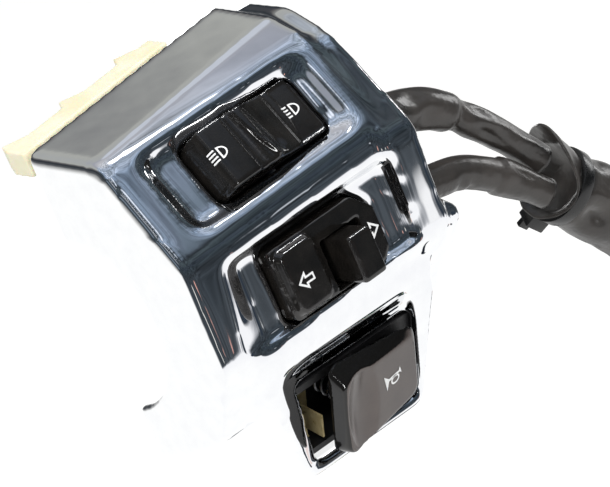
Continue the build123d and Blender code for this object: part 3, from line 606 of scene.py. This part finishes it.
# the rocker's cap in mm, in its own frame: its ends along u, half its height, its corners, the face's
# border, and the size and place of each thing moulded in its face. ridge, hollow and arch hold
# the figures of curves over the height below the top edge
rockerFacts = {
    "origin": (-25.8, -28.232, 23.411), "along": (0.997063, -0.047871, 0.059781),
    "up": (-0.027382, 0.506157, 0.862007), "out": (-0.071524, -0.861112, 0.503359),
    "ends": ((-11.19, -1), (15.8, 1)), "halfHeight": 6.3, "corner": 1.7,
    "faceFrom": 0.35, "faceBlend": 0.3, "border": 5.9, "borderBlend": 0.2,
    "ridge": (-0.1, 0.08, 0.0115), "ridgeHigh": 0.65, "ridgeWide": 0.45,
    "lineAt": -2.55, "lineDeep": 0.4, "lineWide": 0.18,
    "arch": (10.55, 0.024, 4), "archDeep": 0.42, "archBlend": 0.08,
    "hollow": (3.4, 0.14), "hollowDeep": 0.6, "hollowWide": 0.5, "ramp": 0.36,
    "hollowEnd": 10.5, "hollowEndBlend": 1.2,
}


def bump(distance, width):
    return math.exp(-(distance / width) ** 2)


def step(distance, width):
    return 0.5 - 0.5 * math.tanh(distance / width)


def cornerShift(facts, u, v, along, up):
    # rounds the cap's four corners, seen from the front
    shift = Vector()
    for endU, signU in facts["ends"]:
        acrossU, acrossV = (u - endU) * signU + facts["corner"], abs(v) - facts["halfHeight"] + facts["corner"]
        if acrossU > 0 and acrossV > 0:
            reach = math.hypot(acrossU, acrossV)
            share = max(acrossU, acrossV) / reach - 1
            shift = along * acrossU * share * signU + up * acrossV * share * math.copysign(1, v)
    return shift


def faceRise(facts, u, v):
    # the thumb ridge, the hollow and ramp beside it, the fine line by the left block
    # and the arched step down to the right end
    below = facts["halfHeight"] - v
    start, lean, curl = facts["ridge"]
    ridge = start + lean * below + curl * below * below
    hollow = facts["hollow"][0] + facts["hollow"][1] * below
    top, fall, middle = facts["arch"]
    arch = top - fall * (below - middle) ** 2
    rise = facts["ridgeHigh"] * bump(u - ridge, facts["ridgeWide"])
    rise -= facts["lineDeep"] * bump(u - facts["lineAt"], facts["lineWide"])
    rise -= facts["archDeep"] * step(arch - u, facts["archBlend"])
    past = u - hollow
    deep = facts["hollowDeep"]
    sunk = deep * bump(past, facts["hollowWide"]) if past < 0 else max(0.0, deep - facts["ramp"] * past)
    return rise - sunk * step(below - facts["hollowEnd"], facts["hollowEndBlend"])


def shapeRocker(work):
    facts = rockerFacts
    origin, along, up, out = (Vector(facts[key]) for key in ("origin", "along", "up", "out"))
    work.normal_update()
    for vert in work.verts:
        offset = vert.co / mm - origin
        u, v = offset.dot(along), offset.dot(up)
        facing = vert.normal.dot(out)
        shift = cornerShift(facts, u, v, along, up)
        if facing > facts["faceFrom"]:
            edge = step(abs(v) - facts["border"], facts["borderBlend"])
            share = min(1.0, (facing - facts["faceFrom"]) / facts["faceBlend"])
            shift += out * faceRise(facts, u, v) * edge * share
        vert.co += shift * mm


def finishedCopy(node, body, material, slot, name, voxel, eases, shape=None):
    piece = bpy.data.objects.new(name, frame["nodes"][node].data.copy())
    scene.collection.objects.link(piece)
    mesh = piece.data
    if mesh.attributes.get("custom_normal"):
        mesh.attributes.remove(mesh.attributes["custom_normal"])
    work = bmesh.new()
    work.from_mesh(mesh)
    bmesh.ops.remove_doubles(work, verts=work.verts, dist=copyFacts["merge"] * mm)
    work.to_mesh(mesh)
    work.free()
    remesh = piece.modifiers.new("evenFaces", "REMESH")
    remesh.mode = "VOXEL"
    remesh.voxel_size = voxel * mm
    even = evaluatedMesh(piece)
    piece.modifiers.clear()
    piece.data = even
    even.name = name
    work = bmesh.new()
    work.from_mesh(even)
    ease(work, work.verts, eases)
    if shape:
        shape(work)
        ease(work, work.verts, 1)
    work.to_mesh(even)
    count = sum(len(f.verts) - 2 for f in work.faces)
    work.free()
    if count > copyFacts["mostTriangles"]:
        thin = piece.modifiers.new("thinned", "DECIMATE")
        thin.ratio = copyFacts["mostTriangles"] / count
        piece.data = evaluatedMesh(piece)
        piece.modifiers.clear()
        even = piece.data
    print(name, "had", count, "triangles")
    even.shade_smooth()
    even.materials.clear()
    even.materials.append(material)
    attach(piece, body)
    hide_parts(node)
    return piece


# piece: CAD node, body, material, slot, voxel in mm, how often it is eased, what shapes it further
hardPieces = {
    "chromeHousing": ("housing_shell", "casing", chromeMaterial, "chromed_casing", 0.4, 22, softenHousing),
    "terminalCarrier": ("terminal_carrier", "casing", nylonMaterial, "cream_nylon", 0.3, 2),
    "beamRockerCap": ("beam_rocker", "beam_rocker", glossBlackMaterial, "gloss_black", 0.15, 16, shapeRocker),
    "turnPlate": ("turn_plate", "casing", glossBlackMaterial, "gloss_black", 0.18, 9),
    "turnKnob": ("turn_knob", "turn_knob", glossBlackMaterial, "gloss_black", 0.15, 10),
    "hornPaddle": ("horn_paddle", "horn_paddle", paddleMaterial, "gloss_black", 0.22, 9),
    "largeConnector": ("connector_large", "casing", nylonMaterial, "cream_nylon", 0.3, 2),
    "smallConnector": ("connector_small", "casing", nylonMaterial, "cream_nylon", 0.3, 2),
}
made = {name: finishedCopy(*facts[:4], name, *facts[4:]) for name, facts in hardPieces.items()}

slotMaterials = {
    "steel": steelMaterial, "brass": brassMaterial, "matt_black": mattBlackMaterial,
    "white_acetal": acetalMaterial, "contact_board": boardMaterial, "rubber": rubberMaterial,
    "wire_blue": blueWireMaterial, "wire_green": greenWireMaterial, "wire_brown": brownWireMaterial,
    "gloss_black": glossBlackMaterial, "black_pvc": sleeveMaterial, "cream_nylon": nylonMaterial,
    "tie_nylon": tieMaterial, "chromed_casing": chromeMaterial,
}
nodeSlots = {part["node"]: part["material_slot"] for part in frame["record"]["subparts"]}
for nodeName, nodeObject in frame["nodes"].items():
    nodeObject.data.materials.clear()
    nodeObject.data.materials.append(slotMaterials[nodeSlots[nodeName]])
print("hard pieces are made")


# White printed symbols, drawn flat in millimetres and laid on the surface under them

def arc(centre, radii, start, end, steps):
    turns = [math.radians(start + (end - start) * i / steps) for i in range(steps + 1)]
    return [(centre[0] + radii[0] * math.cos(t), centre[1] + radii[1] * math.sin(t)) for t in turns]


def bar(x0, x1, y, half):
    return [(x0, y - half), (x1, y - half), (x1, y + half), (x0, y + half)]


lampSymbol = [
    arc((0.1, 0), (1.85, 1.25), -90, 90, 24),
    arc((0.45, 0), (1.15, 0.9), -90, 90, 24),
    *(bar(-1.65, -0.42, height, 0.16) for height in (1.05, 0.36, -0.34, -1.03)),
]
arrowSymbol = [
    [(-2.05, 0), (0.12, -1.8), (0.12, -0.75), (1.9, -0.75), (1.9, 0.75), (0.12, 0.75), (0.12, 1.8)],
    [(-1.42, 0), (-0.27, -0.95), (-0.27, -0.37), (1.52, -0.37), (1.52, 0.37), (-0.27, 0.37), (-0.27, 0.95)],
]
hornSymbol = [
    [
        (-2.5, 1.95), (-1.8, -1.65), (-1.1, 0.15), (2.15, 0.36), (2.85, -0.1), (2.45, 1.45), (2.05, 0.78),
        (-1.1, 0.72),
    ],
    arc((0.8, -0.45), (1.3, 0.95), 0, 340, 28),
    arc((0.8, -0.45), (0.88, 0.55), 0, 340, 28),
]
# at: a point on the surface in mm; up and out: the symbol's own directions; flip: -1 mirrors it
lampUp, plateUp, plateOut = (-0.027, 0.506, 0.862), (-0.037, -0.033, 0.999), (-0.030, -0.999, -0.034)
symbolFacts = {
    "nearLampSymbol": {
        "draw": lampSymbol, "at": (-33.87, -29.59, 24.59), "up": lampUp, "out": (-0.147, -0.855, 0.497),
        "on": "beamRockerCap", "body": "beam_rocker", "flip": 1,
    },
    "farLampSymbol": {
        "draw": lampSymbol, "at": (-13.93, -27.45, 23.83), "up": lampUp, "out": (-0.0535, -0.862, 0.504),
        "on": "beamRockerCap", "body": "beam_rocker", "flip": 1,
    },
    "leftArrowSymbol": {
        "draw": arrowSymbol, "at": (-31.24, -35.7, -2.34), "up": plateUp, "out": plateOut,
        "on": "turnPlate", "body": "casing", "flip": 1,
    },
    "rightArrowSymbol": {
        "draw": arrowSymbol, "at": (-13.05, -34.6, -1.66), "up": plateUp, "out": plateOut,
        "on": "turnPlate", "body": "casing", "flip": -1,
    },
    "hornSymbol": {
        "draw": hornSymbol, "at": (-16.66, -27.54, -30.77), "up": (0.0, -0.426, 0.905), "out": paddleFacing,
        "on": "hornPaddle", "body": "horn_paddle", "flip": 1,
    },
}
# mm: how far the ink stands proud, from how far above it is dropped on the surface, its longest edge
printFacts = {"proud": 0.06, "above": 3, "longest": 0.35, "rounds": 4, "merge": 0.001}


def printSymbol(name, facts):
    flat = bpy.data.curves.new(name, "CURVE")
    flat.dimensions = "2D"
    flat.fill_mode = "BOTH"
    for outline in (o for o in facts["draw"] if len(o) > 4):    # four-cornered bars become faces further down
        spline = flat.splines.new("POLY")
        spline.points.add(len(outline) - 1)
        for point, (x, y) in zip(spline.points, outline):
            point.co = (x * facts["flip"], y, 0, 1)
        spline.use_cyclic_u = True
    drawing = bpy.data.objects.new(name + "Drawing", flat)
    scene.collection.objects.link(drawing)
    mesh = evaluatedMesh(drawing)
    bpy.data.objects.remove(drawing)
    out = Vector(facts["out"]).normalized()
    across = Vector(facts["up"]).cross(out).normalized()
    upward = out.cross(across)
    tree = BVHTree.FromObject(made[facts["on"]], bpy.context.evaluated_depsgraph_get())
    work = bmesh.new()
    work.from_mesh(mesh)
    bmesh.ops.remove_doubles(work, verts=work.verts, dist=printFacts["merge"])
    for outline in (o for o in facts["draw"] if len(o) == 4):
        work.faces.new([work.verts.new((x * facts["flip"], y, 0)) for x, y in outline])
    bmesh.ops.triangulate(work, faces=work.faces)
    for _ in range(printFacts["rounds"]):
        long = [e for e in work.edges if e.calc_length() > printFacts["longest"]]
        bmesh.ops.subdivide_edges(work, edges=long, cuts=1)
        bmesh.ops.triangulate(work, faces=work.faces)
    for vert in work.verts:
        above = Vector(facts["at"]) + across * vert.co.x + upward * vert.co.y + out * printFacts["above"]
        hit = tree.ray_cast(above * mm, -out)
        place = hit[0] if hit[0] else Vector(facts["at"]) * mm
        vert.co = place + out * printFacts["proud"] * mm
    bmesh.ops.recalc_face_normals(work, faces=work.faces)
    work.to_mesh(mesh)
    work.free()
    mesh.materials.clear()
    mesh.materials.append(inkMaterial)
    piece = bpy.data.objects.new(name, mesh)
    scene.collection.objects.link(piece)
    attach(piece, facts["body"])
    return piece


for symbolName, symbol in symbolFacts.items():
    printSymbol(symbolName, symbol)
print("symbols are printed")


# Studio: a pale floor, a surround that only mirrors see, soft light

studioFacts = {
    "floorDrop": -192.0, "floorSize": 2400.0, "floorColour": "#F4F4F2", "floorRough": 0.9, "floorLift": 0.42,
    "worldStrength": 0.62,
    # lamps: place and aim in metres, width and height, watts
    "keyLamp": ((-0.25, -0.28, 0.38), (0, 0, 0), (0.20, 0.20), 1.6),
    "fillLamp": ((0.32, -0.25, 0.22), (0, 0, 0), (0.20, 0.20), 0.5),
    "sleeveStrips": [
        ((0.37, -0.06, 0.06), (0.05, -0.02, -0.01), (0.08, 0.20), 0.32),
        ((-0.16, -0.34, 0.10), (0.05, -0.02, -0.01), (0.08, 0.20), 0.3),
    ],
    "plasticStrips": [
        ((0.15, -0.04, 0.37), (0, -0.03, 0), (0.02, 0.20), 1.3),
        ((-0.33, -0.25, 0.02), (0, -0.03, 0), (0.03, 0.35), 1.2),
    ],
    # the surround: sizes in mm, how far its tones drift up and down, where its front ends and its back begins,
    # and the flecks that break up its dark part
    "tentRadius": 420.0, "tentStrength": 1.2, "driftSize": 60.0, "drift": 0.08, "split": (-0.06, 0.2),
    "fleckSize": 26.0, "fleckShape": (1, 1, 0.7), "fleckSpan": (0.32, 0.68), "fleckTones": (0.45, 1.7),
    "darkFrom": (0.32, 0.35),
    # the surround's colours by height, 0 below and 1 above, towards the camera and away from it
    "frontColours": [
        (0.0, "#FAFAF9"), (0.2, "#F4F4F5"), (0.308, "#F1F1F3"), (0.322, "#9EA0A5"), (0.333, "#43484D"),
        (0.35, "#3B4045"), (0.375, "#363C42"), (0.5, "#2F3439"), (0.6, "#323A40"), (0.69, "#2F363E"),
        (0.77, "#3D464B"), (0.795, "#31373D"), (0.805, "#394048"), (0.815, "#545F6A"), (0.825, "#6D7888"),
        (0.835, "#687585"), (0.85, "#7E8DA1"), (0.89, "#A2AEC0"), (0.925, "#86919E"), (0.95, "#9CA7B9"),
        (0.97, "#A5ACB7"), (1.0, "#B6B8BE"),
    ],
    "backColours": [
        (0.0, "#FAFAFA"), (0.47, "#F8F8F7"), (0.52, "#B9B9B8"), (0.6, "#535558"), (0.7, "#2C3136"),
        (0.76, "#424347"), (0.8, "#6C6B6A"), (0.825, "#808181"), (0.84, "#A2A39F"), (0.9, "#A0A2A2"),
        (0.945, "#999BA4"), (1.0, "#B8B8BC"),
    ],
    # cards on the surround, as in a product studio: where each is, its reach, how soft its edge is,
    # its colour and brightness
    "cards": [
        ((0.480, 0.305, -0.823), 0.05, 0.01, "#1C222B", 1.0),
        ((0.472, 0.222, -0.853), 0.048, 0.01, "#1C222B", 1.0),
        ((0.472, 0.140, -0.870), 0.045, 0.01, "#1C222B", 1.0),
        ((0.472, 0.068, -0.879), 0.042, 0.01, "#1C222B", 1.0),
        ((0.490, -0.020, -0.875), 0.045, 0.01, "#1C222B", 1.0),
        ((0.499, -0.092, -0.862), 0.048, 0.01, "#1C222B", 1.0),
        ((0.885, -0.293, -0.363), 0.06, 0.02, "#2E3640", 1.0),
        ((0.69, -0.63, -0.335), 0.07, 0.02, "#2E3640", 1.0),
        ((0.735, -0.03, -0.67), 0.055, 0.02, "#2E353D", 1.0),
        ((0.765, -0.01, -0.645), 0.008, 0.012, "#DCAFAD", 1.0),
        ((0.79, 0.085, -0.615), 0.03, 0.02, "#E0D0CC", 1.0),
        ((0.40, -0.07, -0.915), 0.012, 0.012, "#E3AFA2", 1.0),
        ((-0.93, -0.07, -0.375), 0.01, 0.014, "#E2BDAB", 1.0),
        ((-0.945, -0.07, -0.325), 0.03, 0.02, "#454A53", 1.0),
        ((0.29, -0.24, 0.925), 0.05, 0.04, "#FAFBFF", 4.0),
        ((-0.91, -0.24, 0.34), 0.1, 0.05, "#6B7682", 1.0),
        ((-0.65, -0.54, 0.54), 0.06, 0.05, "#8B9099", 1.0),
        ((-0.60, -0.765, -0.25), 0.045, 0.03, "#D9D8D4", 1.0),
        ((0.325, -0.888, -0.315), 0.006, 0.01, "#C99B92", 1.0),
        ((0.55, -0.76, -0.365), 0.02, 0.02, "#EEEEEF", 1.0),
        ((0.40, 0.36, 0.84), 0.12, 0.05, "#BBC0CA", 1.0), ((-0.25, -0.70, 0.67), 0.03, 0.06, "#D5DCE8", 1.2),
        ((0.38, -0.92, -0.03), 0.01, 0.03, "#B4B9C0", 1.0),
        ((-0.08, -0.97, -0.22), 0.03, 0.04, "#DDA99D", 1.0),
        ((0.45, 0.51, -0.735), 0.07, 0.03, "#4B4E52", 1.0),
        ((0.45, 0.64, -0.62), 0.09, 0.03, "#4B4E52", 1.0), ((0.50, 0.84, 0.18), 0.10, 0.04, "#FFFFFF", 5.0),
        ((0.87, -0.20, 0.32), 0.05, 0.05, "#FFFFFF", 6.0),
    ],
}


def studioFloor(facts):
    mesh = bpy.data.meshes.new("studioFloor")
    work = bmesh.new()
    bmesh.ops.create_grid(work, x_segments=1, y_segments=1, size=facts["floorSize"] * mm)
    bmesh.ops.translate(work, verts=work.verts, vec=(0, 0, facts["floorDrop"] * mm))
    work.to_mesh(mesh)
    work.free()
    floor = bpy.data.objects.new("studioFloor", mesh)
    scene.collection.objects.link(floor)
    material, tree, shader = newMaterial("studioPaper")[:3]
    shader.inputs["Base Color"].default_value = linearColour(facts["floorColour"])
    shader.inputs["Roughness"].default_value = facts["floorRough"]
    rays = addNode(tree, "ShaderNodeLightPath")
    lift = addNode(
        tree, "ShaderNodeMath", {"operation": "MULTIPLY", 1: facts["floorLift"]},
        {0: rays.outputs["Is Camera Ray"]},
    )
    white = {"Color": linearColour("#FFFFFF")}
    glow = addNode(tree, "ShaderNodeEmission", white, {"Strength": lift.outputs[0]})
    both = addNode(tree, "ShaderNodeAddShader", {}, {0: shader.outputs[0], 1: glow.outputs[0]})
    output = next(n for n in tree.nodes if n.type == "OUTPUT_MATERIAL")
    tree.links.new(both.outputs[0], output.inputs["Surface"])
    mesh.materials.append(material)
    floor.visible_glossy = False


def studioTent(facts):
    mesh = bpy.data.meshes.new("studioTent")
    work = bmesh.new()
    bmesh.ops.create_icosphere(work, subdivisions=5, radius=facts["tentRadius"] * mm)
    bmesh.ops.reverse_faces(work, faces=work.faces)
    work.to_mesh(mesh)
    work.free()
    tent = bpy.data.objects.new("studioTent", mesh)
    scene.collection.objects.link(tent)
    material = bpy.data.materials.new("tentCloth")
    material.use_nodes = True
    tree = material.node_tree
    tree.nodes.clear()
    place = addNode(tree, "ShaderNodeTexCoord").outputs["Object"]
    drift = grain(tree, place, facts["driftSize"], 5.0)
    flecks = grain(tree, place, facts["fleckSize"], 6.0, facts["fleckShape"])
    toUnit = {"operation": "SCALE", "Scale": 1 / (facts["tentRadius"] * mm)}
    where = addNode(tree, "ShaderNodeVectorMath", toUnit, {0: place}).outputs["Vector"]
    parts = addNode(tree, "ShaderNodeSeparateXYZ", {}, {"Vector": where})
    wander = {"operation": "MULTIPLY_ADD", 1: facts["drift"], 2: -facts["drift"] / 2}
    lift = addNode(tree, "ShaderNodeMath", wander, {0: drift.outputs["Fac"]})
    high = addNode(tree, "ShaderNodeMath", {"operation": "ADD"}, {0: parts.outputs["Z"], 1: lift.outputs[0]})
    share = addNode(tree, "ShaderNodeMapRange", mapSpan((-1.0, 1.0)), {"Value": high.outputs[0]})
    sides = {
        key: fillRamp(
            addNode(tree, "ShaderNodeValToRGB", {}, {"Fac": share.outputs[0]}),
            [(stop, linearColour(colour)) for stop, colour in facts[key]],
        )
        for key in ("frontColours", "backColours")
    }
    split = addNode(tree, "ShaderNodeMapRange", mapSpan(facts["split"]), {"Value": parts.outputs["Y"]})
    mixed = addNode(
        tree, "ShaderNodeMix", {"data_type": "RGBA"},
        {0: split.outputs[0], 6: sides["frontColours"].outputs[0], 7: sides["backColours"].outputs[0]},
    ).outputs[2]
    strength = addNode(
        tree, "ShaderNodeMapRange", mapSpan(facts["fleckSpan"], facts["fleckTones"]),
        {"Value": flecks.outputs["Fac"]},
    )
    darkZone = addNode(tree, "ShaderNodeMapRange", mapSpan(facts["darkFrom"]), {"Value": share.outputs[0]})
    frontOnly = addNode(tree, "ShaderNodeMath", {"operation": "SUBTRACT", 0: 1.0}, {1: split.outputs[0]})
    both = {0: darkZone.outputs[0], 1: frontOnly.outputs[0]}
    zone = addNode(tree, "ShaderNodeMath", {"operation": "MULTIPLY"}, both)
    grey = addNode(tree, "ShaderNodeCombineXYZ", {}, {axis: strength.outputs[0] for axis in range(3)})
    mixed = addNode(
        tree, "ShaderNodeMix", {"data_type": "RGBA", "blend_type": "MULTIPLY"},
        {0: zone.outputs[0], 6: mixed, 7: grey.outputs[0]},
    ).outputs[2]
    for spot, reach, soft, colour, bright in facts["cards"]:
        away = addNode(tree, "ShaderNodeVectorMath", {"operation": "DISTANCE", 1: spot}, {0: where})
        cover = addNode(
            tree, "ShaderNodeMapRange", mapSpan((reach + soft, reach)), {"Value": away.outputs["Value"]},
        )
        paint = [c * bright for c in linearColour(colour)[:3]] + [1.0]
        over = {0: cover.outputs[0], 6: mixed}
        mixed = addNode(tree, "ShaderNodeMix", {"data_type": "RGBA", 7: paint}, over).outputs[2]
    glow = addNode(tree, "ShaderNodeEmission", {"Strength": facts["tentStrength"]}, {"Color": mixed})
    addNode(tree, "ShaderNodeOutputMaterial", {}, {"Surface": glow.outputs[0]})
    mesh.materials.append(material)
    tent.visible_camera = False
    tent.visible_diffuse = False
    tent.visible_shadow = False
    tent.visible_transmission = False


def areaLamp(name, facts):
    place, aim, size, power = facts
    lamp = bpy.data.lights.new(name, "AREA")
    lamp.shape = "RECTANGLE"
    lamp.size, lamp.size_y = size
    lamp.energy = power
    holder = bpy.data.objects.new(name, lamp)
    scene.collection.objects.link(holder)
    way = Vector(place) - Vector(aim)
    holder.matrix_world = Matrix.Translation(place) @ way.to_track_quat("Z", "Y").to_matrix().to_4x4()
    return holder


def linkedStrips(name, strips, pieces):
    # strips that light only the pieces named
    lit = bpy.data.collections.new(name)
    for piece in pieces:
        lit.objects.link(piece)
    for number, facts in enumerate(strips):
        areaLamp(f"{name}{number}", facts).light_linking.receiver_collection = lit


studioFloor(studioFacts)
studioTent(studioFacts)
for lampName in ("keyLamp", "fillLamp"):
    areaLamp(lampName, studioFacts[lampName])
linkedStrips("sleeveStrip", studioFacts["sleeveStrips"], [upperSleeve, lowerSleeve, mainSleeve, cableTie])
linkedStrips(
    "plasticStrip", studioFacts["plasticStrips"],
    [made[name] for name in ("beamRockerCap", "turnPlate", "turnKnob", "hornPaddle")],
)

world = bpy.data.worlds.new("studioWorld")
scene.world = world
world.use_nodes = True
worldTree = world.node_tree
worldTree.nodes.clear()
rays = addNode(worldTree, "ShaderNodeLightPath")
soft, white = (
    addNode(worldTree, "ShaderNodeBackground", {"Color": linearColour("#FFFFFF"), "Strength": strength})
    for strength in (studioFacts["worldStrength"], 1.0)
)
seen = rays.outputs["Is Camera Ray"]
for kind in ("Is Glossy Ray", "Is Transmission Ray"):
    either = addNode(worldTree, "ShaderNodeMath", {"operation": "MAXIMUM"}, {0: seen, 1: rays.outputs[kind]})
    seen = either.outputs[0]
both = addNode(worldTree, "ShaderNodeMixShader", {}, {0: seen, 1: soft.outputs[0], 2: white.outputs[0]})
addNode(worldTree, "ShaderNodeOutputWorld", {}, {"Surface": both.outputs[0]})

scene.view_settings.view_transform = "Standard"
print("studio is set")
